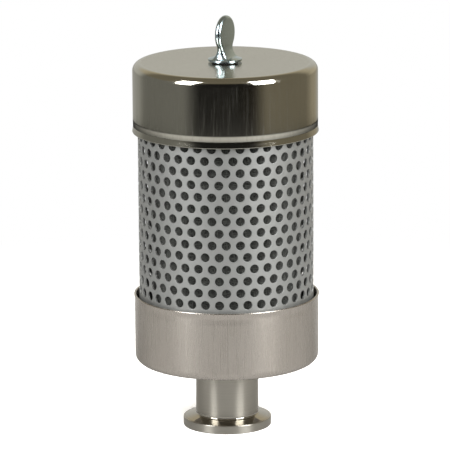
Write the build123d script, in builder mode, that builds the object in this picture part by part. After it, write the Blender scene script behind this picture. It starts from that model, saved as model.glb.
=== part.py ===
from build123d import *
import os
from math import acos, cos, degrees, pi, radians, sin, sqrt, tan

# Exhaust filter: a perforated drum held between two drawn cups by a tie rod and a thumb screw,
# with an oil mist cartridge inside and a clamp flange stub below.
# Millimetres, +Z up, origin at the centre of the flange's sealing face.

# Drawn cups, one below the drum and the same one upside down above it
cup_diameter = 83.4
cup_depth = 31.3
cup_wall = 1.0
cup_corner = 3.5
lip_height = 2.4
lip_flare = 0.35
lip_round = 0.3

# Flange stub
stub_length = 30.4
port_bore = 24.0
neck_wall = 2.2
flange_diameter = 40.0
flange_rim = 3.8
flange_taper = 15.0
flange_break = 0.2
recess_step = 1.1
recess_depth = 3.0
neck_root = 0.8
spigot_step = 0.8
spigot_stand = 1.4
spigot_clearance = 0.05

# Perforated drum, rolled as one flat for each column of holes
drum_length = 134.6
drum_side_gap = 1.15
drum_sheet = 0.8
hole_columns = 39
hole_diameter = 3.96
row_pitch = 5.46
first_row_rise = 3.14
seat_clearance = 0.05

# Inlet spider, tie rod and their nut
spider_overhang = 1.6
spider_thickness = 2.0
spider_window_inset = 0.6
spider_hub = 5.6
spider_arm = 4.0
spider_arms = 3
thread_diameter = 6.35
thread_pitch = 1.27
thread_clearance = 0.05
engaged_turns = 10
rod_wall = 1.8
tapped_spare = 3.0
nut_across_flats = 11.1
nut_height = 5.5
lock_washer_diameter = 11.0
lock_washer_thickness = 1.4
lock_washer_split = 1.0

# Cartridge
gasket_height = 3.0
gasket_band = 10.0
top_gasket_height = 2.4
top_gasket_diameter = 30.0
cartridge_side_gap = 2.6
disc_sheet = 0.8
disc_wall_height = 6.0
core_diameter = 42.0
core_sheet = 0.8
slot_columns = 10
slot_rows = 7
slot_width = 5.0
slot_height = 11.0
screen_sheet = 0.4
layer_gap = 0.05
wrap_thickness = 2.2
wrap_inset = 1.3
potting_depth = 2.0
shank_clearance = 0.4

# Thumb screw and its washer
shank_length = 25.4
shank_point = 0.8
collar_diameter = 15.2
collar_rim = 0.9
collar_crown = 0.7
seal_diameter = 11.6
seal_thickness = 0.7
paddle_height = 20.4
paddle_diameter = 16.5
paddle_thickness = 3.1
paddle_edge = 1.5
waist_width = 11.2
waist_round = 5.0
foot_thickness = 9.6
flare_radius = 7.5
paddle_turn = 64.5


# The cups' inside, from which everything that stands in them takes its size
cup_radius = cup_diameter / 2
inner_corner = cup_corner - cup_wall
floor_z = stub_length + cup_wall
lower_rim_z = stub_length + cup_depth
port_radius = port_bore / 2
neck_radius = port_radius + neck_wall
spigot_radius = neck_radius - spigot_step
spigot_top = floor_z + spigot_stand

# The drum's edge sits on the round corner inside each cup, so it stands a little off the floor
drum_radius = cup_radius - cup_wall - drum_side_gap
half_flat = pi / hole_columns
flat_radius = drum_radius * cos(half_flat)
reach_into_corner = max(0, drum_radius - (cup_radius - cup_wall - inner_corner))
corner_rise = inner_corner - sqrt(inner_corner**2 - reach_into_corner**2)
drum_bottom = floor_z + corner_rise + seat_clearance
drum_top = drum_bottom + drum_length
roof_z = drum_top + corner_rise + seat_clearance
cap_top = roof_z + cup_wall
upper_rim_z = cap_top - cup_depth

# The cartridge fills the height between the floor and the roof
disc_radius = flat_radius - drum_sheet - cartridge_side_gap
gasket_bottom = floor_z + seat_clearance
cartridge_bottom = gasket_bottom + gasket_height
top_gasket_top = roof_z - seat_clearance
cartridge_top = top_gasket_top - top_gasket_height
core_radius = core_diameter / 2
screen_radius = core_radius + core_sheet + layer_gap
media_radius = screen_radius + screen_sheet + layer_gap
wrap_outer = disc_radius - disc_sheet - wrap_inset
wrap_inner = wrap_outer - wrap_thickness
pack_bottom = cartridge_bottom + disc_sheet
pack_top = cartridge_top - disc_sheet

# The screw passes through the cap into the tie rod
thread_radius = thread_diameter / 2
tapped_radius = thread_radius + thread_clearance
shank_hole = thread_radius + shank_clearance
collar_bottom = cap_top + seal_thickness
shank_tip = collar_bottom - shank_length
rod_top = shank_tip + engaged_turns * thread_pitch
rod_radius = thread_radius + rod_wall
spider_top = spigot_top + spider_thickness
nut_bottom = spider_top + lock_washer_thickness
rod_shoulder = nut_bottom + nut_height


def cup_section(closed_z, way, hole_radius):
    """Half section of a drawn cup: closed_z is the outside of its floor, way is +1 if it opens upwards."""
    rim = closed_z + way * cup_depth
    lip = rim - way * lip_height
    inner_floor = closed_z + way * cup_wall
    with BuildSketch(Plane.XZ) as section:
        with BuildLine():
            Polyline(
                (hole_radius, closed_z),
                (cup_radius, closed_z),
                (cup_radius, lip),
                (cup_radius + lip_flare, rim),
                (cup_radius + lip_flare - cup_wall, rim),
                (cup_radius - cup_wall, lip),
                (cup_radius - cup_wall, inner_floor),
                (hole_radius, inner_floor),
                close=True,
            )
        make_face()
        outer_foot, inner_foot, rim_corners = [], [], []
        for corner in section.vertices():
            if abs(corner.Y - closed_z) < 1e-6 and abs(corner.X - cup_radius) < 1e-6:
                outer_foot.append(corner)
            elif abs(corner.Y - inner_floor) < 1e-6 and abs(corner.X - cup_radius + cup_wall) < 1e-6:
                inner_foot.append(corner)
            elif abs(corner.Y - rim) < 1e-6:
                rim_corners.append(corner)
        fillet(outer_foot, cup_corner)
        fillet(inner_foot, inner_corner)
        fillet(rim_corners, lip_round)
    return section.sketch


def ring_section(inner, outer, bottom, top):
    """Half section of a plain ring."""
    with BuildSketch(Plane.XZ) as section:
        with BuildLine():
            Polyline((inner, bottom), (outer, bottom), (outer, top), (inner, top), close=True)
        make_face()
    return section.sketch


# Lower cup, with the hole in its floor for the stub's spigot
with BuildPart() as base_cup:
    revolve(cup_section(stub_length, 1, spigot_radius + spigot_clearance), axis=Axis.Z)
base_cup.part.label = "base_cup"

# Flange stub, turned in one piece: sealing face, ring recess, taper for the clamp, neck and spigot
taper_top = flange_rim + (flange_diameter / 2 - neck_radius) * tan(radians(flange_taper))
with BuildPart() as flange_stub:
    with BuildSketch(Plane.XZ) as stub_section:
        with BuildLine():
            Polyline(
                (port_radius + recess_step, 0),
                (flange_diameter / 2, 0),
                (flange_diameter / 2, flange_rim),
                (neck_radius, taper_top),
                (neck_radius, stub_length),
                (spigot_radius, stub_length),
                (spigot_radius, spigot_top),
                (port_radius, spigot_top),
                (port_radius, recess_depth),
                (port_radius + recess_step, recess_depth),
                close=True,
            )
        make_face()
        root = stub_section.vertices().sort_by_distance((neck_radius, taper_top))[0]
        fillet(root, neck_root)
        rim_edges = stub_section.vertices().filter_by(lambda v: abs(v.X - flange_diameter / 2) < 1e-6)
        chamfer(rim_edges, flange_break)
    revolve(axis=Axis.Z)
flange_stub.part.label = "flange_stub"

# Inlet spider on top of the spigot: its arms carry the tie rod and its windows let the gas up
with BuildPart() as inlet_spider:
    with BuildSketch(Plane.XY.offset(spigot_top)):
        Circle(spigot_radius + spider_overhang)
        Circle(tapped_radius, mode=Mode.SUBTRACT)
        with BuildSketch(mode=Mode.PRIVATE) as windows:
            Circle(port_radius - spider_window_inset)
            Circle(spider_hub, mode=Mode.SUBTRACT)
            with PolarLocations(0, spider_arms, start_angle=90):
                Rectangle(port_radius, spider_arm, align=(Align.MIN, Align.CENTER), mode=Mode.SUBTRACT)
        add(windows.sketch.moved(Location((0, 0, spigot_top))), mode=Mode.SUBTRACT)
    extrude(amount=spider_thickness)
inlet_spider.part.label = "inlet_spider"

# Split lock washer under the rod's nut
with BuildPart() as lock_washer:
    with BuildSketch(Plane.XY.offset(spider_top)):
        Circle(lock_washer_diameter / 2)
        Circle(tapped_radius, mode=Mode.SUBTRACT)
        with Locations((lock_washer_diameter / 4 + tapped_radius / 2, 0)):
            Rectangle(lock_washer_diameter, lock_washer_split, rotation=30, mode=Mode.SUBTRACT)
    extrude(amount=lock_washer_thickness)
lock_washer.part.label = "lock_washer"

# Hexagon nut that locks the rod on the spider
with BuildPart() as rod_nut:
    with BuildSketch(Plane.XY.offset(nut_bottom)):
        RegularPolygon(nut_across_flats / 2, 6, major_radius=False)
        Circle(tapped_radius, mode=Mode.SUBTRACT)
    extrude(amount=nut_height)
rod_nut.part.label = "rod_nut"

# Tie rod: thread below for spider and nut, shoulder on the nut, tapped hole above for the screw
with BuildPart() as tie_rod:
    with BuildSketch(Plane.XZ):
        with BuildLine():
            Polyline(
                (0, spigot_top),
                (thread_radius, spigot_top),
                (thread_radius, rod_shoulder),
                (rod_radius, rod_shoulder),
                (rod_radius, rod_top),
                (tapped_radius, rod_top),
                (tapped_radius, shank_tip - tapped_spare),
                (0, shank_tip - tapped_spare - tapped_radius / 2),
                close=True,
            )
        make_face()
    revolve(axis=Axis.Z)
    chamfer(tie_rod.edges().group_by(Axis.Z)[-1], rod_wall / 4)
tie_rod.part.label = "tie_rod"

# Perforated drum: staggered rows of holes, closed margins where the cups cover it
hole_corner_radius = hole_diameter / 2 * sqrt(2 * pi / (3 * sqrt(3)))
row_count = int((upper_rim_z - lower_rim_z - first_row_rise) / row_pitch) + 1
with BuildPart() as perforated_drum:
    with BuildSketch(Plane.XY.offset(drum_bottom)):
        first_corner = degrees(half_flat) - 90
        RegularPolygon(drum_radius, hole_columns, rotation=first_corner)
        RegularPolygon(
            flat_radius - drum_sheet, hole_columns, major_radius=False, rotation=first_corner, mode=Mode.SUBTRACT
        )
    extrude(amount=drum_length)
    hole_planes = []
    for row in range(row_count):
        for column in range(hole_columns):
            turn = 2 * half_flat * (column + (row + 1) % 2 / 2) - pi / 2
            outward = Vector(cos(turn), sin(turn), 0)
            centre = outward * (flat_radius - 2 * drum_sheet)
            centre.Z = lower_rim_z + first_row_rise + row * row_pitch
            hole_planes.append(Plane(origin=centre, x_dir=(0, 0, 1), z_dir=outward))
    with BuildSketch(*hole_planes):
        RegularPolygon(hole_corner_radius, 6)
    extrude(amount=4 * drum_sheet, mode=Mode.SUBTRACT)
perforated_drum.part.label = "perforated_drum"

# Cartridge's lower gasket on the cup's floor
with BuildPart() as lower_gasket:
    revolve(
        ring_section(core_radius + disc_sheet, core_radius + disc_sheet + gasket_band, gasket_bottom, cartridge_bottom),
        axis=Axis.Z,
    )
lower_gasket.part.label = "lower_gasket"

# Lower end disc: a pressed ring channel that the core, the media and the potting stand in
with BuildPart() as lower_end_disc:
    revolve(
        ring_section(core_radius - disc_sheet - layer_gap, disc_radius, cartridge_bottom, pack_bottom), axis=Axis.Z
    )
    revolve(
        ring_section(disc_radius - disc_sheet, disc_radius, pack_bottom, cartridge_bottom + disc_wall_height),
        axis=Axis.Z,
    )
    revolve(
        ring_section(
            core_radius - disc_sheet - layer_gap, core_radius - layer_gap, pack_bottom, cartridge_bottom + disc_wall_height
        ),
        axis=Axis.Z,
    )
lower_end_disc.part.label = "lower_end_disc"

# Upper end disc: closed but for the screw's hole, with its wall turned down
with BuildPart() as upper_end_disc:
    revolve(ring_section(shank_hole, disc_radius, pack_top, cartridge_top), axis=Axis.Z)
    revolve(
        ring_section(disc_radius - disc_sheet, disc_radius, cartridge_top - disc_wall_height, pack_top), axis=Axis.Z
    )
upper_end_disc.part.label = "upper_end_disc"

# Slotted core tube
with BuildPart() as core_tube:
    revolve(ring_section(core_radius, core_radius + core_sheet, pack_bottom, pack_top), axis=Axis.Z)
    slot_pitch = (pack_top - pack_bottom) / slot_rows
    slot_planes = []
    for row in range(slot_rows):
        for column in range(slot_columns):
            turn = 2 * pi * column / slot_columns
            outward = Vector(cos(turn), sin(turn), 0)
            centre = outward * (core_radius - 2 * core_sheet)
            centre.Z = pack_bottom + (row + 0.5) * slot_pitch
            slot_planes.append(Plane(origin=centre, x_dir=(0, 0, 1), z_dir=outward))
    with BuildSketch(*slot_planes):
        Rectangle(slot_height, slot_width)
    extrude(amount=4 * core_sheet, mode=Mode.SUBTRACT)
core_tube.part.label = "core_tube"

# Gauze sleeve between the core and the media
with BuildPart() as support_screen:
    revolve(ring_section(screen_radius, screen_radius + screen_sheet, pack_bottom, pack_top), axis=Axis.Z)
support_screen.part.label = "support_screen"

# Potting that seals the media into each end disc
with BuildPart() as lower_potting:
    revolve(
        ring_section(media_radius, disc_radius - disc_sheet, pack_bottom, pack_bottom + potting_depth), axis=Axis.Z
    )
lower_potting.part.label = "lower_potting"

with BuildPart() as upper_potting:
    revolve(ring_section(media_radius, disc_radius - disc_sheet, pack_top - potting_depth, pack_top), axis=Axis.Z)
upper_potting.part.label = "upper_potting"

# Coalescing media, and the felt that drains it outside
with BuildPart() as filter_media:
    revolve(
        ring_section(media_radius, wrap_inner - layer_gap, pack_bottom + potting_depth, pack_top - potting_depth),
        axis=Axis.Z,
    )
filter_media.part.label = "filter_media"

with BuildPart() as drain_wrap:
    revolve(
        ring_section(wrap_inner, wrap_outer, pack_bottom + potting_depth, pack_top - potting_depth), axis=Axis.Z
    )
drain_wrap.part.label = "drain_wrap"

# Cartridge's upper gasket under the cap's roof
with BuildPart() as upper_gasket:
    revolve(ring_section(shank_hole, top_gasket_diameter / 2, cartridge_top, top_gasket_top), axis=Axis.Z)
upper_gasket.part.label = "upper_gasket"

# Upper cup, upside down, with the screw's hole
with BuildPart() as top_cap:
    revolve(cup_section(cap_top, -1, shank_hole), axis=Axis.Z)
top_cap.part.label = "top_cap"

# Sealing washer under the screw's collar
with BuildPart() as seal_washer:
    revolve(
        ring_section(thread_radius + thread_clearance, seal_diameter / 2, cap_top, collar_bottom), axis=Axis.Z
    )
seal_washer.part.label = "seal_washer"

# Thumb screw: turned to its outline, then pressed flat above the collar
collar_top = collar_bottom + collar_rim + collar_crown
paddle_top = collar_bottom + paddle_height
paddle_centre = paddle_top - paddle_diameter / 2
across_plane = Plane(
    origin=(0, 0, 0),
    x_dir=(sin(radians(paddle_turn)), -cos(radians(paddle_turn)), 0),
    z_dir=(-cos(radians(paddle_turn)), -sin(radians(paddle_turn)), 0),
)
foot_z = collar_bottom + collar_rim / 2
head_radius = paddle_diameter / 2
hollow_x = waist_width / 2 + waist_round
waist_z = paddle_centre - sqrt((head_radius + waist_round) ** 2 - hollow_x**2)
touch_x = head_radius * hollow_x / (head_radius + waist_round)
touch_z = paddle_centre - head_radius * (paddle_centre - waist_z) / (head_radius + waist_round)
touch_angle = -degrees(acos(touch_x / head_radius))
foot_x = hollow_x - sqrt(waist_round**2 - (waist_z - foot_z) ** 2)
with BuildPart() as paddle:
    with BuildSketch(Plane.XZ):
        with BuildLine():
            Line((0, foot_z), (foot_x, foot_z))
            ThreePointArc((foot_x, foot_z), (waist_width / 2, waist_z), (touch_x, touch_z))
            CenterArc((0, paddle_centre), head_radius, 90, touch_angle - 90)
            Line((0, paddle_top), (0, foot_z))
        make_face()
    revolve(axis=Axis.Z)
    with BuildSketch(across_plane):
        with BuildLine():
            flare_drop = flare_radius - (foot_thickness - paddle_thickness) / 2
            flare_top = foot_z + sqrt(flare_radius**2 - flare_drop**2)
            Line((-paddle_thickness / 2, paddle_top), (paddle_thickness / 2, paddle_top))
            Line((paddle_thickness / 2, paddle_top), (paddle_thickness / 2, flare_top))
            RadiusArc((paddle_thickness / 2, flare_top), (foot_thickness / 2, foot_z), -flare_radius)
            Line((foot_thickness / 2, foot_z), (-foot_thickness / 2, foot_z))
            RadiusArc((-foot_thickness / 2, foot_z), (-paddle_thickness / 2, flare_top), -flare_radius)
            Line((-paddle_thickness / 2, flare_top), (-paddle_thickness / 2, paddle_top))
        make_face()
    extrude(amount=paddle_diameter, both=True, mode=Mode.INTERSECT)
    rim = paddle.edges().filter_by(lambda e: (e @ 0.5).Z > foot_z + 1e-3 and abs((e @ 0.5).Z - flare_top) > 1e-3)
    fillet(rim, paddle_edge)

with BuildPart() as thumb_screw:
    with BuildSketch(Plane.XZ):
        with BuildLine():
            Polyline(
                (0, shank_tip),
                (thread_radius - shank_point, shank_tip),
                (thread_radius, shank_tip + shank_point),
                (thread_radius, collar_bottom),
                (collar_diameter / 2, collar_bottom),
                (collar_diameter / 2, collar_bottom + collar_rim),
                (foot_thickness / 2, collar_top),
                (0, collar_top),
                close=True,
            )
        make_face()
    revolve(axis=Axis.Z)
    add(paddle.part)
thumb_screw.part.label = "thumb_screw"

pieces = [
    base_cup,
    flange_stub,
    inlet_spider,
    lock_washer,
    rod_nut,
    tie_rod,
    perforated_drum,
    lower_gasket,
    lower_end_disc,
    upper_end_disc,
    core_tube,
    support_screen,
    lower_potting,
    upper_potting,
    filter_media,
    drain_wrap,
    upper_gasket,
    top_cap,
    seal_washer,
    thumb_screw,
]
os.makedirs("parts", exist_ok=True)
for piece in pieces:
    export_step(piece.part, f"parts/{piece.part.label}.step")
print("pieces", len(pieces), "rows of holes", row_count, "height", round(paddle_top, 2))
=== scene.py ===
# %% [markdown]
# # Exhaust filter
# A perforated drum stands between two drawn metal cups. A thumb screw holds the upper cup down, and a
# clamp flange under the lower cup joins the filter to a pump's exhaust. A cartridge of felt and fibre
# stands inside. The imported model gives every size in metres, and this file gives each piece its fine
# shape and its finish. It starts by loading the model, which is never moved.

# %% Load the frame
import math

import bmesh
import bpy
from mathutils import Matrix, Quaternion, Vector


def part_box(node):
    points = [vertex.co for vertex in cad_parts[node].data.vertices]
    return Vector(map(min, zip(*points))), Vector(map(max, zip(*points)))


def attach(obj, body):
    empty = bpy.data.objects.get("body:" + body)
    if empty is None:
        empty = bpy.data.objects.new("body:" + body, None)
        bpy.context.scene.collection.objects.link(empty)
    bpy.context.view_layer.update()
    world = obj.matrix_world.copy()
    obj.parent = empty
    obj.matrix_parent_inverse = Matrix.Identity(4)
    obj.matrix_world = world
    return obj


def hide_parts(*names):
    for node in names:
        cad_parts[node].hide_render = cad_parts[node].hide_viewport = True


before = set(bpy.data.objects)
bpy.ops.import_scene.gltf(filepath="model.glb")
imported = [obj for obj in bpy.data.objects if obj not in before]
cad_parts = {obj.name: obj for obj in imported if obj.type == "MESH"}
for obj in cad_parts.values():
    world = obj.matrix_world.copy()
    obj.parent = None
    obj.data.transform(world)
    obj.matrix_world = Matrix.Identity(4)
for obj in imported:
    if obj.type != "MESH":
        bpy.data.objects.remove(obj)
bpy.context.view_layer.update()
MM = 0.001

# %% [markdown]
# ## Camera
# A long lens far away keeps the filter's sides almost upright. The camera looks down by 13 degrees, and
# it leans by a third of a degree, as a camera on a stand often does.

# %% Camera
CAMERA_RISE = math.radians(12.951)
CAMERA_DISTANCE = 1.9
CAMERA_LEAN = math.radians(-0.374)
LENS = 335.87
AIM = Vector((-0.00050, 0, 0.09279))

camera_data = bpy.data.cameras.new("camera")
camera_data.lens = LENS
camera_data.sensor_width = 36
camera = bpy.data.objects.new("camera", camera_data)
bpy.context.scene.collection.objects.link(camera)
away = Vector((0, -math.cos(CAMERA_RISE), math.sin(CAMERA_RISE)))
camera.location = AIM + CAMERA_DISTANCE * away
camera.rotation_mode = "QUATERNION"
camera.rotation_quaternion = (-away).to_track_quat("-Z", "Y") @ Quaternion((0, 0, 1), CAMERA_LEAN)
bpy.context.scene.camera = camera
bpy.context.scene.view_settings.view_transform = "Standard"
print("camera", [round(value, 3) for value in camera.location])

# %% [markdown]
# ## Node trees as sums
# A finish is a tree of nodes. Wiring them by hand hides the thought, so one small class wraps a socket
# and lets Python's own signs add the Math nodes: `1 - mask * 0.3` reads as it is meant. The same two
# classes build the Geometry Nodes tree of the drum.

# %% Wires and trees
class Wire:
    """An output socket that can be added, multiplied and compared."""

    def __init__(self, tree, socket):
        self.tree = tree
        self.socket = socket

    def maths(self, operation, *values):
        settings = {"operation": operation}
        return self.tree.add("ShaderNodeMath", settings, dict(enumerate(values)))

    def __add__(self, other):
        return self.maths("ADD", self, other)

    __radd__ = __add__

    def __sub__(self, other):
        return self.maths("SUBTRACT", self, other)

    def __rsub__(self, other):
        return self.maths("SUBTRACT", other, self)

    def __mul__(self, other):
        return self.maths("MULTIPLY", self, other)

    __rmul__ = __mul__

    def __truediv__(self, other):
        return self.maths("DIVIDE", self, other)

    def __mod__(self, other):
        return self.maths("FLOORED_MODULO", self, other)

    def part(self, name):
        """Another output of the same node."""
        return Wire(self.tree, pick(self.socket.node.outputs, name))


def pick(sockets, key):
    """A socket by its place in the list or by its identifier."""
    if isinstance(key, int):
        return sockets[key]
    return next(socket for socket in sockets if socket.identifier == key)


class Tree:
    """A node tree that is filled one node at a time."""

    def __init__(self, nodes_and_links):
        self.tree = nodes_and_links
        self.tree.nodes.clear()

    def add(self, kind, settings=None, inputs=None, output=0):
        """Adds a node: its settings come first, then its sockets' values or wires."""
        node = self.tree.nodes.new(kind)
        for key, value in (settings or {}).items():
            setattr(node, key, value)
        for key, value in (inputs or {}).items():
            if isinstance(value, Wire):
                self.tree.links.new(value.socket, pick(node.inputs, key))
            else:
                pick(node.inputs, key).default_value = value
        return Wire(self, pick(node.outputs, output)) if len(node.outputs) else None

    def blend(self, share, first, second):
        """Mixes two colours."""
        inputs = {"Factor_Float": share, "A_Color": first, "B_Color": second}
        return self.add("ShaderNodeMix", {"data_type": "RGBA"}, inputs, "Result_Color")

    def step(self, value, low, high):
        """Runs smoothly from 0 at low to 1 at high."""
        settings = {"interpolation_type": "SMOOTHSTEP"}
        return self.add("ShaderNodeMapRange", settings, {"Value": value, "From Min": low, "From Max": high})

    def place(self):
        """The point being shaded, as x, y and z in metres, and as one vector."""
        point = self.add("ShaderNodeTexCoord", output="Object")
        split = self.add("ShaderNodeSeparateXYZ", inputs={0: point})
        return split.part("X"), split.part("Y"), split.part("Z"), point

    def join(self, x, y, z):
        return self.add("ShaderNodeCombineXYZ", inputs={"X": x, "Y": y, "Z": z})

    def grain(self, vector, scale, detail=2.0, rough=0.5):
        """Noise from 0 to 1, with `scale` waves to the metre."""
        inputs = {"Vector": vector, "Scale": scale, "Detail": detail, "Roughness": rough}
        return self.add("ShaderNodeTexNoise", None, inputs, "Fac")

    def relief(self, height, depth, strength=1.0):
        """A bump whose full height is `depth` metres."""
        return self.add("ShaderNodeBump", None, {"Height": height, "Distance": depth, "Strength": strength})


def colour(red, green, blue):
    return (red, green, blue, 1.0)


def new_material(name):
    material = bpy.data.materials.new(name)
    material.use_nodes = True
    return material, Tree(material.node_tree)


def finish_with(tree, **sockets):
    """Ends a material in one Principled shader."""
    inputs = {key.replace("_", " "): value for key, value in sockets.items()}
    shader = tree.add("ShaderNodeBsdfPrincipled", None, inputs)
    tree.add("ShaderNodeOutputMaterial", None, {"Surface": shader})


print("node classes are ready")

# %% [markdown]
# ## Studio
# Polished metal has hardly any colour of its own: it shows the room. The room here has two tall soft
# lamps in front, left and right, a white backdrop behind, and a white table that ends half a metre away,
# so that what lies in front of it is dark. The upper cup looks past the table's edge and turns dark in
# its middle, and the lower cup looks at the table and stays bright. The camera sees plain white wherever
# the table ends.

# %% Table, room and lamps
TABLE_RADIUS = 0.705
TABLE_DIM_START = 0.56
TABLE_WHITE = 0.42
TABLE_SEEN = 1.35
TABLE_DROP = 0.05 * MM
FADE_START = 0.20
FADE_END = 0.38
ROOM_DARK = 0.02
ROOM_SIDE = 0.26
ROOM_WARMTH = 0.55
ROOM_FLOOR = 0.45
ROOM_BACK = 0.66
ROOM_CEILING = 0.25
LAMP_HEIGHT = 1.0
LAMP_DISTANCE = 1.25
LAMP_GLOW = 46.0
LAMPS = {"lamp_left": (-52, 32, 0, 0.46), "lamp_right": (52, 32, -10, 0.60)}


def make_table():
    mesh = bpy.data.meshes.new("table")
    shape = bmesh.new()
    bmesh.ops.create_circle(shape, cap_ends=True, segments=96, radius=TABLE_RADIUS)
    bmesh.ops.translate(shape, verts=shape.verts, vec=(0, 0, -TABLE_DROP))
    shape.to_mesh(mesh)
    shape.free()
    table = bpy.data.objects.new("table", mesh)
    bpy.context.scene.collection.objects.link(table)
    material, tree = new_material("table_white")
    x, y, z, point = tree.place()
    seen = tree.add("ShaderNodeLightPath", output="Is Camera Ray")
    radius = tree.add("ShaderNodeVectorMath", {"operation": "LENGTH"}, {0: point}, "Value")
    dimmed = (1 - tree.step(radius, TABLE_DIM_START, TABLE_RADIUS)) * TABLE_WHITE
    white = dimmed + seen * (TABLE_SEEN - dimmed)
    paint = tree.add("ShaderNodeBsdfDiffuse", None, {"Color": tree.join(white, white, white)})
    glow = tree.add("ShaderNodeEmission", None, {"Strength": 1.0})
    fade = tree.step(radius, FADE_START, FADE_END) * seen
    surface = tree.add("ShaderNodeMixShader", None, {0: fade, 1: paint, 2: glow})
    tree.add("ShaderNodeOutputMaterial", None, {"Surface": surface})
    mesh.materials.append(material)


def make_room():
    world = bpy.data.worlds.new("room")
    world.use_nodes = True
    bpy.context.scene.world = world
    tree = Tree(world.node_tree)
    way = tree.add("ShaderNodeTexCoord", output="Generated")
    split = tree.add("ShaderNodeSeparateXYZ", inputs={0: way})
    right, back, up = split.part("X"), split.part("Y"), split.part("Z")
    level = ROOM_DARK + tree.step(back, -0.85, -0.55) * (ROOM_SIDE - ROOM_DARK)
    behind = ROOM_FLOOR + tree.step(up, -0.10, 0.10) * (ROOM_BACK - ROOM_FLOOR)
    level = level + tree.step(back, 0.45, 0.75) * (behind - ROOM_SIDE)
    ceiling = tree.step(up, 0.45, 0.75)
    level = level + ceiling * (ROOM_CEILING - level)
    seen = tree.add("ShaderNodeLightPath", output="Is Camera Ray")
    strength = level + seen * (1 - level)
    warm = tree.step(right, 0.15, 0.60) * ROOM_WARMTH
    warm = warm.maths("MAXIMUM", warm, tree.step(up, 0.25, 0.50) * ROOM_WARMTH)
    tint = tree.blend(warm, colour(1.0, 0.985, 0.91), colour(1.0, 0.80, 0.45))
    tint = tree.blend(seen, tint, colour(1, 1, 1))
    surface = tree.add("ShaderNodeBackground", None, {"Color": tint, "Strength": strength})
    tree.add("ShaderNodeOutputWorld", None, {"Surface": surface})


def make_lamp(name, azimuth, rise, lean, width):
    """A tall soft lamp: azimuth is its turn from the camera's side, and lean tips its head inwards."""
    light = bpy.data.lights.new(name, "AREA")
    light.shape = "RECTANGLE"
    light.size = width
    light.size_y = LAMP_HEIGHT
    light.energy = LAMP_GLOW * width * LAMP_HEIGHT
    lamp = bpy.data.objects.new(name, light)
    turn, tilt = math.radians(azimuth), math.radians(rise)
    flat = math.cos(tilt)
    out = Vector((math.sin(turn) * flat, -math.cos(turn) * flat, math.sin(tilt)))
    lamp.location = AIM + LAMP_DISTANCE * out
    lamp.rotation_mode = "QUATERNION"
    tipped = Quaternion((0, 0, 1), math.radians(lean))
    lamp.rotation_quaternion = (-out).to_track_quat("-Z", "Y") @ tipped
    lamp.visible_camera = False
    bpy.context.scene.collection.objects.link(lamp)


make_table()
make_room()
for lamp_name, lamp_values in LAMPS.items():
    make_lamp(lamp_name, *lamp_values)
print("studio:", len(LAMPS), "lamps")

# %% [markdown]
# ## Drawn and plated cups
# A press draws each cup from flat sheet, which leaves faint upright lines on its wall. The plating over
# them is satin: it blurs what it mirrors. Noise that is stretched tall gives the lines on the wall, and
# on the flat roof the same noise is an even grain.

# %% Satin nickel
def satin_nickel(name, pale, dark, rough, brushed, depth):
    """Plate on a cup: brushed stretches what it mirrors upwards, and depth is that of its drawn lines."""
    material, tree = new_material(name)
    x, y, z, point = tree.place()
    tall = tree.join(x, y, z * 0.03)
    lines = tree.grain(tall, 1300, 4.0, 0.7)
    distance = (x * x + y * y).maths("SQRT", x * x + y * y)
    flat = 1 - tree.step(distance, 37 * MM, 39 * MM)
    grain = tree.grain(tree.join(x, y, z * 0.4), 2600, 3.0, 0.6)
    cloud = tree.grain(point, 35, 2.0)
    tone = tree.blend(cloud, dark, pale)
    tone = tree.blend(tree.step(lines, 0.40, 0.60) * 0.15, tone, colour(0.30, 0.28, 0.25))
    height = lines * 0.7 + grain * 0.3
    finish_with(
        tree,
        Base_Color=tone,
        Metallic=1.0,
        Roughness=rough + tree.step(lines, 0.45, 0.75) * 0.08 + flat * 0.12,
        Anisotropic=brushed,
        Anisotropic_Rotation=0.25,
        Normal=tree.relief(height, depth),
    )
    return material


# %% [markdown]
# ## Turned steel
# The stub is turned on a lathe, and the tool leaves fine rings. Rings differ only with height and with
# distance from the axis, so one noise on their sum draws them on the neck, on the cone and on the flat
# face. The clamp seats on the cone, which is cut smoother and mirrors sharply.

# %% Turned steel
def turned_steel():
    material, tree = new_material("turned_steel")
    x, y, z, point = tree.place()
    distance = (x * x + y * y).maths("SQRT", x * x + y * y)
    along = z + distance
    rings = tree.grain(tree.join(along, 0.0, 0.0), 1500, 5.0, 0.8)
    broad = tree.grain(tree.join(along, 0.0, 0.0), 700, 1.0)
    cloud = tree.grain(point, 60, 2.0)
    cone = tree.step(z, 3.9 * MM, 4.1 * MM) * (1 - tree.step(z, 5.9 * MM, 6.6 * MM))
    tone = tree.blend(cloud, colour(0.40, 0.38, 0.335), colour(0.45, 0.43, 0.38))
    tone = tree.blend(tree.step(rings, 0.38, 0.62) * 0.35, tone, colour(0.31, 0.295, 0.26))
    rough = 0.24 + rings * 0.08 + broad * 0.03
    finish_with(
        tree,
        Base_Color=tone,
        Metallic=1.0,
        Roughness=rough + cone * (0.04 - rough),
        Anisotropic=0.85,
        Anisotropic_Rotation=0.25,
        Normal=tree.relief(rings * (1 - cone * 0.9), 0.006 * MM),
    )
    return material
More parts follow.
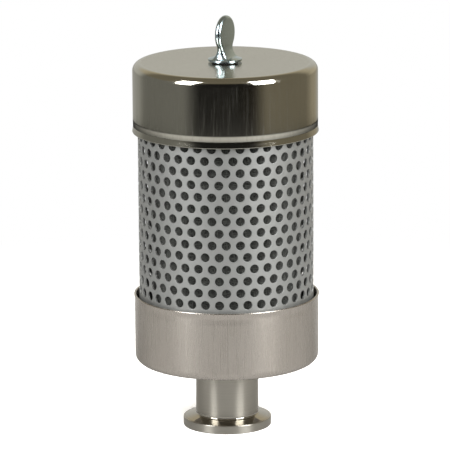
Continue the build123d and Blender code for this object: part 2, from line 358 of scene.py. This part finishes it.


# %% [markdown]
# ## Zinc
# The drum's sheet has a dull zinc coat with a fine frost. The
# screw's zinc is bright, smooth and a little blue.

# %% Zinc coats
def sheet_zinc():
    material, tree = new_material("sheet_zinc")
    x, y, z, point = tree.place()
    frost = tree.grain(point, 2400, 3.0, 0.6)
    spangle = tree.add("ShaderNodeTexVoronoi", None, {"Vector": point, "Scale": 420.0}, "Distance")
    cloud = tree.grain(point, 260, 3.0, 0.6)
    tone = tree.blend(cloud, colour(0.25, 0.257, 0.252), colour(0.33, 0.337, 0.33))
    tone = tree.blend(frost * 0.35, tone, colour(0.40, 0.405, 0.395))
    finish_with(
        tree,
        Base_Color=tone,
        Metallic=0.85,
        Roughness=0.42 + frost * 0.10 + spangle * 0.05,
        Normal=tree.relief(frost, 0.03 * MM),
    )
    return material


def plated_zinc(name, pale, dark, rough):
    """Zinc on small turned and pressed parts: faint cloud, faint orange peel."""
    material, tree = new_material(name)
    x, y, z, point = tree.place()
    cloud = tree.grain(point, 160, 3.0)
    peel = tree.grain(point, 1500, 2.0)
    finish_with(
        tree,
        Base_Color=tree.blend(cloud, dark, pale),
        Metallic=1.0,
        Roughness=rough + cloud * 0.06,
        Normal=tree.relief(peel, 0.006 * MM),
    )
    return material


# %% [markdown]
# ## Rubber, resin, felt and gauze
# These stand inside. Felt is a mat of fibres, so two noises that are stretched different ways cross each
# other. Gauze is woven, and crossed waves raise its wires.

# %% Soft and woven finishes
def soft_finish(name, pale, dark, scale, depth, rough, sheen):
    """A dull finish whose grain has `scale` waves to the metre."""
    material, tree = new_material(name)
    x, y, z, point = tree.place()
    flat = tree.grain(tree.join(x, y, z * 6.0), scale, 4.0, 0.65)
    tall = tree.grain(tree.join(x * 5.0, y * 5.0, z), scale, 4.0, 0.65)
    fibres = flat.maths("MAXIMUM", flat, tall)
    share = tree.step(fibres, 0.35, 0.75)
    finish_with(
        tree,
        Base_Color=tree.blend(share, dark, pale),
        Roughness=rough,
        Sheen_Weight=sheen,
        Normal=tree.relief(fibres, depth),
    )
    return material


def woven_wire():
    material, tree = new_material("woven_wire")
    x, y, z, point = tree.place()
    turn = x.maths("ARCTAN2", y, x)
    upright = (turn * 180.0).maths("SINE", turn * 180.0)
    level = (z * 8000.0).maths("SINE", z * 8000.0)
    wires = upright.maths("MAXIMUM", upright, level)
    tone = tree.blend(tree.step(wires, -0.2, 0.8), colour(0.05, 0.05, 0.05), colour(0.45, 0.45, 0.44))
    finish_with(tree, Base_Color=tone, Metallic=0.9, Roughness=0.35, Normal=tree.relief(wires, 0.15 * MM))
    return material


lower_cup_finish = satin_nickel(
    "satin_nickel", colour(0.48, 0.445, 0.405), colour(0.435, 0.40, 0.36), 0.25, 0.6, 0.0005 * MM
)
upper_cup_finish = satin_nickel(
    "bright_nickel", colour(0.47, 0.46, 0.40), colour(0.42, 0.41, 0.35), 0.08, 0.0, 0.0040 * MM
)
stub_finish = turned_steel()
drum_finish = sheet_zinc()
screw_finish = plated_zinc("bright_zinc", colour(0.45, 0.54, 0.58), colour(0.39, 0.475, 0.51), 0.17)
rod_finish = plated_zinc("rod_zinc", colour(0.55, 0.55, 0.53), colour(0.45, 0.45, 0.43), 0.28)
disc_finish = plated_zinc("tinned_sheet", colour(0.60, 0.60, 0.58), colour(0.50, 0.50, 0.48), 0.30)
rubber_finish = soft_finish(
    "black_rubber", colour(0.030, 0.030, 0.030), colour(0.018, 0.018, 0.018), 900, 0.01 * MM, 0.55, 0.0
)
resin_finish = soft_finish(
    "cast_resin", colour(0.30, 0.28, 0.23), colour(0.22, 0.20, 0.16), 300, 0.02 * MM, 0.35, 0.0
)
fibre_finish = soft_finish(
    "glass_fibre", colour(0.72, 0.70, 0.64), colour(0.55, 0.53, 0.47), 700, 0.10 * MM, 0.9, 0.3
)
felt_finish = soft_finish(
    "grey_felt", colour(0.11, 0.115, 0.105), colour(0.004, 0.004, 0.004), 420, 0.20 * MM, 0.95, 0.1
)
gauze_finish = woven_wire()
print("finishes:", len(bpy.data.materials))

# %% [markdown]
# ## Turned shapes
# A cup, a ring or a stub is a half section that goes once round the axis. The section is a short list of
# corners, each with its own rounding, and a helper turns the corners into arcs. It also adds a point just
# beside each arc, because smooth shading would otherwise bend the light on the long flat wall next to it.

# %% From corners to a section
ARC_STEP = math.radians(12)
SUPPORT = 0.35 * MM
ROUND_STEPS = 192


def rounded(corners):
    """A closed section from corners (distance, height, rounding), listed once round."""
    section = []
    for index, (distance, height, rounding) in enumerate(corners):
        here = Vector((distance, height))
        before = Vector(corners[index - 1][:2]) - here
        after = Vector(corners[(index + 1) % len(corners)][:2]) - here
        opening = before.angle(after)
        reach = rounding / math.tan(opening / 2)
        if before.length > 4 * (reach + SUPPORT):
            section.append(here + before.normalized() * (reach + SUPPORT))
        if rounding:
            to_middle = (before.normalized() + after.normalized()).normalized()
            middle = here + to_middle * (rounding / math.sin(opening / 2))
            first = here + before.normalized() * reach - middle
            last = here + after.normalized() * reach - middle
            sweep = math.atan2(first.cross(last), first.dot(last))
            steps = max(3, math.ceil(abs(sweep) / ARC_STEP))
            for step in range(steps + 1):
                cosine, sine = math.cos(sweep * step / steps), math.sin(sweep * step / steps)
                spoke = Vector((first.x * cosine - first.y * sine, first.x * sine + first.y * cosine))
                section.append(middle + spoke)
        else:
            section.append(here)
        if after.length > 4 * (reach + SUPPORT):
            section.append(here + after.normalized() * (reach + SUPPORT))
    return section


# %% [markdown]
# Each finished piece rides on a body of the imported model, stands for the node that it replaces, and gets
# one finish. One helper does these three things for every piece.

# %% From a section to a piece
SHARP = math.radians(34)


def dress(name, mesh, material, body, slot, *replaced):
    """Makes the mesh a piece: smooth where it bends gently, with one finish, on its body."""
    mesh.materials.clear()
    mesh.materials.append(material)
    mesh.shade_smooth()
    mesh.set_sharp_from_angle(angle=SHARP)
    piece = bpy.data.objects.new(name, mesh)
    bpy.context.scene.collection.objects.link(piece)
    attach(piece, body)
    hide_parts(*replaced)
    print(name, len(mesh.polygons), "faces on", body)
    return piece


def sweep_round(shape, section):
    """Adds the section's turned skin to the bmesh `shape`, closed where it meets the axis."""
    rings = []
    for step in range(ROUND_STEPS):
        turn = 2 * math.pi * step / ROUND_STEPS
        across, along = math.sin(turn), -math.cos(turn)
        rings.append([shape.verts.new((point.x * across, point.x * along, point.y)) for point in section])
    for step in range(ROUND_STEPS):
        near, far = rings[step - 1], rings[step]
        for index in range(len(section)):
            if section[index - 1].x > 0 or section[index].x > 0:
                shape.faces.new((near[index - 1], near[index], far[index], far[index - 1]))


def close_up(shape, name):
    """Welds the bmesh, turns its faces outwards and makes it a mesh."""
    bmesh.ops.remove_doubles(shape, verts=shape.verts, dist=0.002 * MM)
    bmesh.ops.recalc_face_normals(shape, faces=shape.faces)
    mesh = bpy.data.meshes.new(name)
    shape.to_mesh(mesh)
    shape.free()
    return mesh


def turned(name, corners, material, body, slot, *replaced):
    shape = bmesh.new()
    sweep_round(shape, rounded(corners))
    return dress(name, close_up(shape, name), material, body, slot, *replaced)


# %% [markdown]
# ## The cups
# Both cups come from one drawing: a round corner at the closed end, an upright wall, and a lip that
# flares a little. The box of each node gives its radius and its ends.

# %% Lower cup and upper cup
CUP_WALL = 1.0 * MM
CUP_CORNER = 3.5 * MM
LIP_HEIGHT = 2.4 * MM
LIP_FLARE = 0.35 * MM
LIP_ROUND = 0.3 * MM
LIP_NECK = 0.10 * MM
LIP_NECK_HEIGHT = 3.0 * MM
SPIGOT_HOLE = 13.45 * MM
SCREW_HOLE = 3.575 * MM


def cup_corners(closed, rim, outer, hole):
    """The cup's corners: closed and rim are heights, outer is the rim's radius."""
    way = 1 if rim > closed else -1
    wall = outer - LIP_FLARE
    lip = rim - way * LIP_HEIGHT
    inside = closed + way * CUP_WALL
    return [
        (hole, closed, 0),
        (wall, closed, CUP_CORNER),
        (wall, lip - way * LIP_NECK_HEIGHT, 20 * MM),
        (wall - LIP_NECK, lip, 6 * MM),
        (outer, rim, LIP_ROUND),
        (outer - CUP_WALL, rim, LIP_ROUND),
        (wall - CUP_WALL, lip, 6 * MM),
        (wall - CUP_WALL, inside, CUP_CORNER - CUP_WALL),
        (hole, inside, 0),
    ]


low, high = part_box("base_cup")
lower_cup = cup_corners(low.z, high.z, high.x, SPIGOT_HOLE)
turned("lower_cup", lower_cup, lower_cup_finish, "base", "cup_nickel", "base_cup")
low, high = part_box("top_cap")
upper_cup = cup_corners(high.z, low.z, high.x, SCREW_HOLE)
turned("upper_cup", upper_cup, upper_cup_finish, "cap", "cup_nickel", "top_cap")
cap_top = high.z

# %% [markdown]
# ## Flange stub
# The stub is one turning: a flat sealing face with a shallow recess for the centring ring, a narrow rim,
# a cone at 15 degrees that the clamp draws on, and the neck.

# %% Flange stub
FLANGE_RIM = 3.8 * MM
FLANGE_BREAK = 0.25 * MM
NECK_RADIUS = 14.2 * MM
NECK_ROOT = 0.8 * MM
NECK_TOP = 30.4 * MM
SPIGOT_RADIUS = 13.4 * MM
PORT_RADIUS = 12.0 * MM
RECESS_RADIUS = 13.1 * MM
RECESS_DEPTH = 3.0 * MM
TAPER = math.radians(15)

low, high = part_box("flange_stub")
taper_top = FLANGE_RIM + (high.x - NECK_RADIUS) * math.tan(TAPER)
stub_corners = [
    (RECESS_RADIUS, low.z, 0.1 * MM),
    (high.x, low.z, FLANGE_BREAK),
    (high.x, FLANGE_RIM, FLANGE_BREAK),
    (NECK_RADIUS, taper_top, NECK_ROOT),
    (NECK_RADIUS, NECK_TOP, 0),
    (SPIGOT_RADIUS, NECK_TOP, 0),
    (SPIGOT_RADIUS, high.z, 0.1 * MM),
    (PORT_RADIUS, high.z, 0.1 * MM),
    (PORT_RADIUS, RECESS_DEPTH, 0.1 * MM),
    (RECESS_RADIUS, RECESS_DEPTH, 0),
]
turned("port_stub", stub_corners, stub_finish, "base", "stub_steel", "flange_stub")

# %% [markdown]
# ## Perforated drum
# The drum is one sheet with 14 rows of 39 punched holes, and each row is shifted by half a pitch. One
# small cell of sheet with one round hole is modelled. Geometry Nodes set it out on a flat sheet,
# add the plain margins, and roll the sheet round the axis. Each cell has a point at every sixth of its
# width, so shifted rows still share their points, and the sheet welds into one closed piece.

# %% One cell of sheet, and the plain margin beside it
SHEET = 0.8 * MM
HOLE_RADIUS = 2.05 * MM
HOLE_ROLL = 0.10 * MM
ROLL_SUPPORT = 0.06 * MM
ROLL_STEPS = 2
SIDE_STEPS = 6
COLUMNS = 39
ROWS = 14
ROW_PITCH = 5.46 * MM
FIRST_ROW = 64.84 * MM

low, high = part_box("perforated_drum")
drum_radius = high.y - 0.03 * MM
pitch = 2 * math.pi * drum_radius / COLUMNS


def cell_ring():
    """Points once round the cell, as shares of its half width and half height."""
    corners = [(1, -1), (1, 1), (-1, 1), (-1, -1)]
    ring = []
    for (x0, z0), (x1, z1) in zip(corners, corners[1:] + corners[:1]):
        for step in range(SIDE_STEPS):
            share = step / SIDE_STEPS
            ring.append((x0 + (x1 - x0) * share, z0 + (z1 - z0) * share))
    return ring


def skin(name, loops, closed):
    """A mesh of quads between loops of points."""
    shape = bmesh.new()
    rows = [[shape.verts.new(point) for point in loop] for loop in loops]
    for near, far in zip(rows, rows[1:]):
        for index in range(0 if closed else 1, len(near)):
            shape.faces.new((near[index - 1], near[index], far[index], far[index - 1]))
    mesh = bpy.data.meshes.new(name)
    shape.to_mesh(mesh)
    shape.free()
    return bpy.data.objects.new(name, mesh)


def hole_cell():
    """One cell: its face, the rolled edge that the punch leaves, the hole's wall and the back."""
    frame_points = [(x * pitch / 2, z * ROW_PITCH / 2) for x, z in cell_ring()]
    turns = [2 * math.pi * (index / len(frame_points) - 1 / 8) for index in range(len(frame_points))]
    circles = [(HOLE_RADIUS + HOLE_ROLL + ROLL_SUPPORT, 0)]
    for step in range(ROLL_STEPS + 1):
        bend = math.pi / 2 * step / ROLL_STEPS
        radius = HOLE_RADIUS + HOLE_ROLL * (1 - math.sin(bend))
        circles.append((radius, HOLE_ROLL * (1 - math.cos(bend))))
    circles.append((HOLE_RADIUS, SHEET))
    loops = [[(x, 0, z) for x, z in frame_points]]
    for radius, depth in circles:
        loops.append([(radius * math.cos(turn), depth, radius * math.sin(turn)) for turn in turns])
    loops.append([(x, SHEET, z) for x, z in frame_points])
    return skin("hole_cell", loops, True)


def margin_cell(name, height):
    """Plain sheet from the last row to the drum's end: height is above 0 for the upper end."""
    shares = [step / SIDE_STEPS - 0.5 for step in range(SIDE_STEPS + 1)]
    if height > 0:
        shares.reverse()
    places = [(0, 0), (0, height), (SHEET, height), (SHEET, 0)]
    return skin(name, [[(share * pitch, y, z) for share in shares] for y, z in places], False)


row_bottom = FIRST_ROW - ROW_PITCH / 2
row_top = FIRST_ROW + (ROWS - 0.5) * ROW_PITCH
cell = hole_cell()
upper_margin = margin_cell("upper_margin", high.z - row_top)
lower_margin = margin_cell("lower_margin", low.z - row_bottom)
print("cell", len(cell.data.polygons), "faces,", COLUMNS * ROWS, "holes, pitch", round(pitch / MM, 3), "mm")

# %% [markdown]
# The tree takes the three small meshes and the drum's sizes as inputs. Points stand where the holes go,
# each point gets a copy of the cell, and the rolling step turns a place along the sheet into an angle.

# %% The rolling tree
def rolling_tree():
    group = bpy.data.node_groups.new("rolled_sheet", "GeometryNodeTree")
    kinds = {
        "Sheet": "NodeSocketGeometry",
        "Hole cell": "NodeSocketObject",
        "Upper margin": "NodeSocketObject",
        "Lower margin": "NodeSocketObject",
        "Columns": "NodeSocketInt",
        "Rows": "NodeSocketInt",
        "Pitch": "NodeSocketFloat",
        "Row pitch": "NodeSocketFloat",
        "First row": "NodeSocketFloat",
        "Radius": "NodeSocketFloat",
        "Finish": "NodeSocketMaterial",
    }
    names = {}
    for name, kind in kinds.items():
        names[name] = group.interface.new_socket(name, in_out="INPUT", socket_type=kind).identifier
    group.interface.new_socket("Drum", in_out="OUTPUT", socket_type="NodeSocketGeometry")
    tree = Tree(group)
    given = tree.add("NodeGroupInput")
    columns, rows = given.part(names["Columns"]), given.part(names["Rows"])
    step, row_step = given.part(names["Pitch"]), given.part(names["Row pitch"])
    first, radius = given.part(names["First row"]), given.part(names["Radius"])
    index = tree.add("GeometryNodeInputIndex")

    def copies(count, position, source):
        points = tree.add("GeometryNodePoints", None, {"Count": count, "Position": position})
        item = tree.add("GeometryNodeObjectInfo", None, {"Object": source}, "Geometry")
        return tree.add("GeometryNodeInstanceOnPoints", None, {"Points": points, "Instance": item})

    row = (index / columns).maths("FLOOR", index / columns)
    shift = (row + 1) % 2 * 0.5
    hole_place = tree.join((index % columns + shift) * step, 0.0, first + row * row_step)
    parts = [copies(columns * rows, hole_place, given.part(names["Hole cell"]))]
    upper_place = tree.join(index * step, 0.0, first + (rows - 0.5) * row_step)
    parts.append(copies(columns, upper_place, given.part(names["Upper margin"])))
    lower_place = tree.join(index * step, 0.0, first - row_step * 0.5)
    parts.append(copies(columns, lower_place, given.part(names["Lower margin"])))

    joined = tree.add("GeometryNodeJoinGeometry")
    for part in reversed(parts):
        group.links.new(part.socket, joined.socket.node.inputs[0])
    flat = tree.add("GeometryNodeRealizeInstances", None, {"Geometry": joined})
    place = tree.add("GeometryNodeInputPosition")
    split = tree.add("ShaderNodeSeparateXYZ", None, {0: place})
    angle = split.part("X") / radius
    distance = radius - split.part("Y")
    around = tree.join(
        distance * angle.maths("SINE", angle),
        0 - distance * angle.maths("COSINE", angle),
        split.part("Z"),
    )
    rolled = tree.add("GeometryNodeSetPosition", None, {"Geometry": flat, "Position": around})
    welded = tree.add("GeometryNodeMergeByDistance", None, {"Geometry": rolled, "Distance": 0.01 * MM})
    whole = tree.add("GeometryNodeRealizeInstances", None, {"Geometry": welded})
    done = tree.add(
        "GeometryNodeSetMaterial", None, {"Geometry": whole, "Material": given.part(names["Finish"])}
    )
    tree.add("NodeGroupOutput", None, {0: done})
    return group, names


def grow(name, group, values):
    """Runs a tree on an empty mesh, keeps the plain result, and drops the modifier."""
    seed = bpy.data.objects.new(name + "_seed", bpy.data.meshes.new(name + "_seed"))
    bpy.context.scene.collection.objects.link(seed)
    modifier = seed.modifiers.new("grow", "NODES")
    modifier.node_group = group
    for identifier, value in values.items():
        modifier[identifier] = value
    seed.update_tag()
    bpy.context.view_layer.update()
    evaluated = seed.evaluated_get(bpy.context.evaluated_depsgraph_get())
    mesh = bpy.data.meshes.new_from_object(evaluated)
    mesh.name = name
    seed.modifiers.clear()
    bpy.data.objects.remove(seed)
    return mesh


roll_group, roll_inputs = rolling_tree()
roll_values = {
    "Hole cell": cell,
    "Upper margin": upper_margin,
    "Lower margin": lower_margin,
    "Columns": COLUMNS,
    "Rows": ROWS,
    "Pitch": pitch,
    "Row pitch": ROW_PITCH,
    "First row": FIRST_ROW,
    "Radius": drum_radius,
    "Finish": drum_finish,
}
drum_mesh = grow("drum", roll_group, {roll_inputs[name]: value for name, value in roll_values.items()})
dress("drum", drum_mesh, drum_finish, "base", "drum_zinc", "perforated_drum")
for small in (cell, upper_margin, lower_margin):
    bpy.data.objects.remove(small)

# %% [markdown]
# ## Thumb screw
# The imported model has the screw's head as the real one is pressed, so a welded copy of it keeps the
# shape. Its shank is plain there. A real thread replaces it: its points follow the helix, row by row, so
# crest and root stay crisp.

# %% Thumb screw
THREAD_RADIUS = 3.175 * MM
THREAD_PITCH = 1.27 * MM
THREAD_DEPTH = 0.74 * MM
THREAD_TURN_STEPS = 40
THREAD_SHAPE = [(0.0, 1.0), (0.12, 1.0), (0.44, 0.0), (0.68, 0.0)]
SEAL_THICKNESS = 0.7 * MM


def thread(shape, radius, bottom, top, point):
    """Adds a closed threaded shank to the bmesh; point is how much narrower its tip is."""
    turns = math.ceil((top - bottom) / THREAD_PITCH) + 1
    root = radius - THREAD_DEPTH
    rows = []
    for turn in range(-1, turns):
        for share, rise in THREAD_SHAPE:
            row = []
            for step in range(THREAD_TURN_STEPS + 1):
                wound = step / THREAD_TURN_STEPS
                height = bottom + THREAD_PITCH * (turn + share + wound)
                height = min(max(height, bottom), top)
                reach = min(root + THREAD_DEPTH * rise, radius - point + height - bottom, root + top - height)
                angle = 2 * math.pi * wound
                row.append(shape.verts.new((reach * math.cos(angle), reach * math.sin(angle), height)))
            rows.append(row)
    for near, far in zip(rows, rows[1:]):
        for step in range(THREAD_TURN_STEPS):
            shape.faces.new((near[step], near[step + 1], far[step + 1], far[step]))
    bmesh.ops.remove_doubles(shape, verts=shape.verts, dist=0.01 * MM)
    open_edges = [edge for edge in shape.edges if edge.is_boundary]
    bmesh.ops.holes_fill(shape, edges=open_edges, sides=0)


def welded_copy(node):
    """The node's mesh as a bmesh whose loose triangles are joined."""
    shape = bmesh.new()
    shape.from_mesh(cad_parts[node].data)
    bmesh.ops.remove_doubles(shape, verts=shape.verts, dist=0.002 * MM)
    return shape


def make_screw():
    shape = welded_copy("thumb_screw")
    collar = cap_top + SEAL_THICKNESS
    inside = THREAD_RADIUS + 0.1 * MM
    shank = [
        face
        for face in shape.faces
        if all(math.hypot(v.co.x, v.co.y) < inside and v.co.z < collar + 0.01 * MM for v in face.verts)
    ]
    bmesh.ops.delete(shape, geom=shank, context="FACES")
    open_edges = [edge for edge in shape.edges if edge.is_boundary]
    bmesh.ops.holes_fill(shape, edges=open_edges, sides=0)
    head = close_up(shape, "head")
    shape = bmesh.new()
    low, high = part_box("thumb_screw")
    thread(shape, THREAD_RADIUS, low.z, collar + 0.5 * MM, 0.8 * MM)
    bmesh.ops.recalc_face_normals(shape, faces=shape.faces)
    shape.from_mesh(head)
    mesh = bpy.data.meshes.new("screw")
    shape.to_mesh(mesh)
    shape.free()
    dress("screw", mesh, screw_finish, "screw", "bright_zinc", "thumb_screw")


make_screw()

# %% [markdown]
# ## What stands inside
# The other nodes already have their true shape. Their triangles are loose, so each gets a welded copy
# that shades smoothly, and its own finish.

# %% The remaining pieces
REMAINING = {
    "seal_washer": ("seal", "gasket_rubber", rubber_finish),
    "inlet_spider": ("base", "rod_steel", rod_finish),
    "lock_washer": ("base", "rod_steel", rod_finish),
    "rod_nut": ("base", "rod_steel", rod_finish),
    "tie_rod": ("base", "rod_steel", rod_finish),
    "lower_gasket": ("cartridge", "gasket_rubber", rubber_finish),
    "upper_gasket": ("cartridge", "gasket_rubber", rubber_finish),
    "lower_end_disc": ("cartridge", "disc_steel", disc_finish),
    "upper_end_disc": ("cartridge", "disc_steel", disc_finish),
    "core_tube": ("cartridge", "disc_steel", disc_finish),
    "support_screen": ("cartridge", "screen_steel", gauze_finish),
    "lower_potting": ("cartridge", "potting_resin", resin_finish),
    "upper_potting": ("cartridge", "potting_resin", resin_finish),
    "filter_media": ("cartridge", "media_fibre", fibre_finish),
    "drain_wrap": ("cartridge", "wrap_felt", felt_finish),
}
for node, (body, slot, material) in REMAINING.items():
    shape = welded_copy(node)
    dress(node + "_skin", close_up(shape, node), material, body, slot, node)
